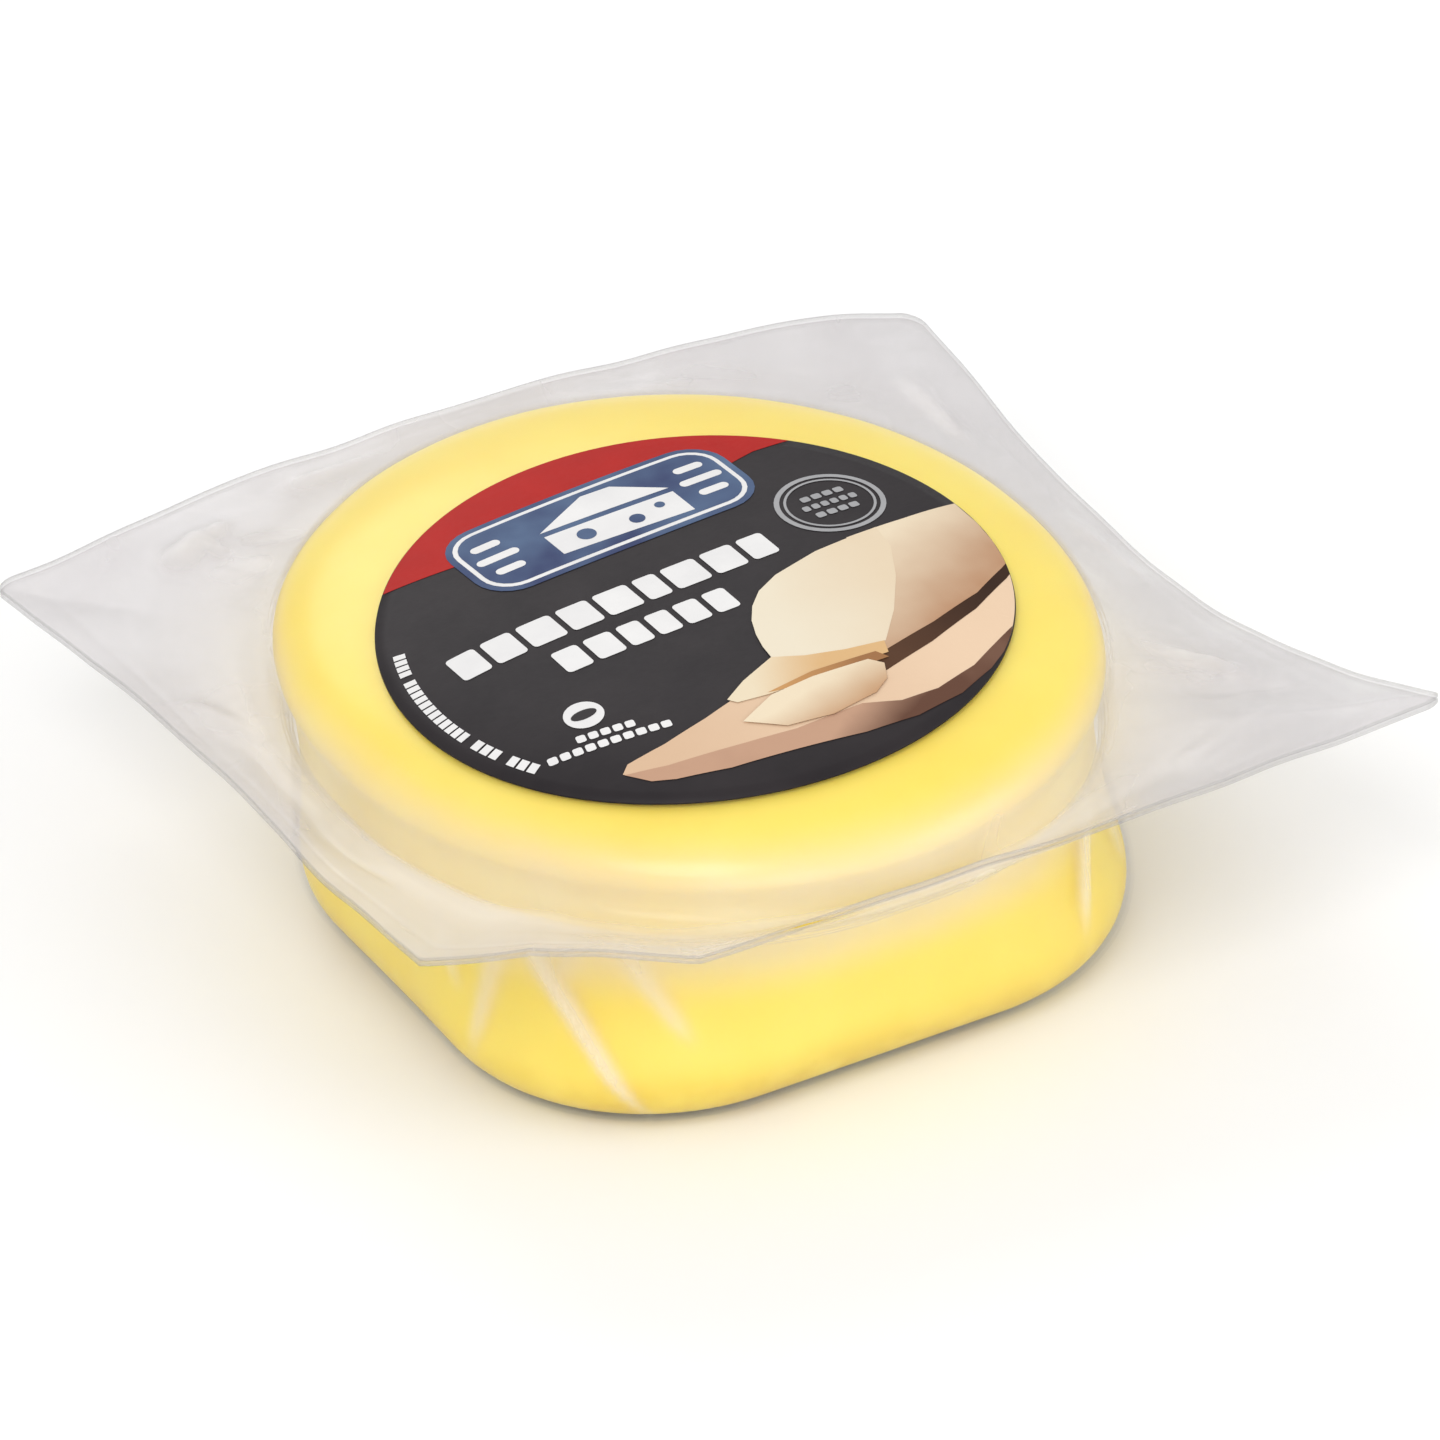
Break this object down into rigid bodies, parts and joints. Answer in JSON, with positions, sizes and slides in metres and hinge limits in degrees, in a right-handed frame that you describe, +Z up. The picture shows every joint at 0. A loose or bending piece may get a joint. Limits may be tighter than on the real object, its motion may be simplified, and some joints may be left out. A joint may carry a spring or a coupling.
{
  "type": "vacuum-packed round cheese",
  "caption": "Squat round yellow cheese sealed in a clear film pocket with a square flange, a lid film drawn over its domed top and a round printed label.",
  "frame": {"origin": "under the middle of the flange, on the surface that the pack stands on", "axes": "+Z up through the label, +X and +Y along the flange's sides; the cut corner is at -X -Y"},
  "size_m": [0.1162, 0.1166, 0.042],
  "materials": {
    "cheese": "smooth and slightly greasy, buttery yellow",
    "pocket_film": "clear glossy film, milky at its flange",
    "lid_film": "clear glossy film",
    "label": "printed, satin"
  },
  "bodies": {
    "root": {"cheese": "cheese", "pocket_film": "pocket_film", "lid_film": "lid_film", "label": "label"}
  },
  "joints": []
}
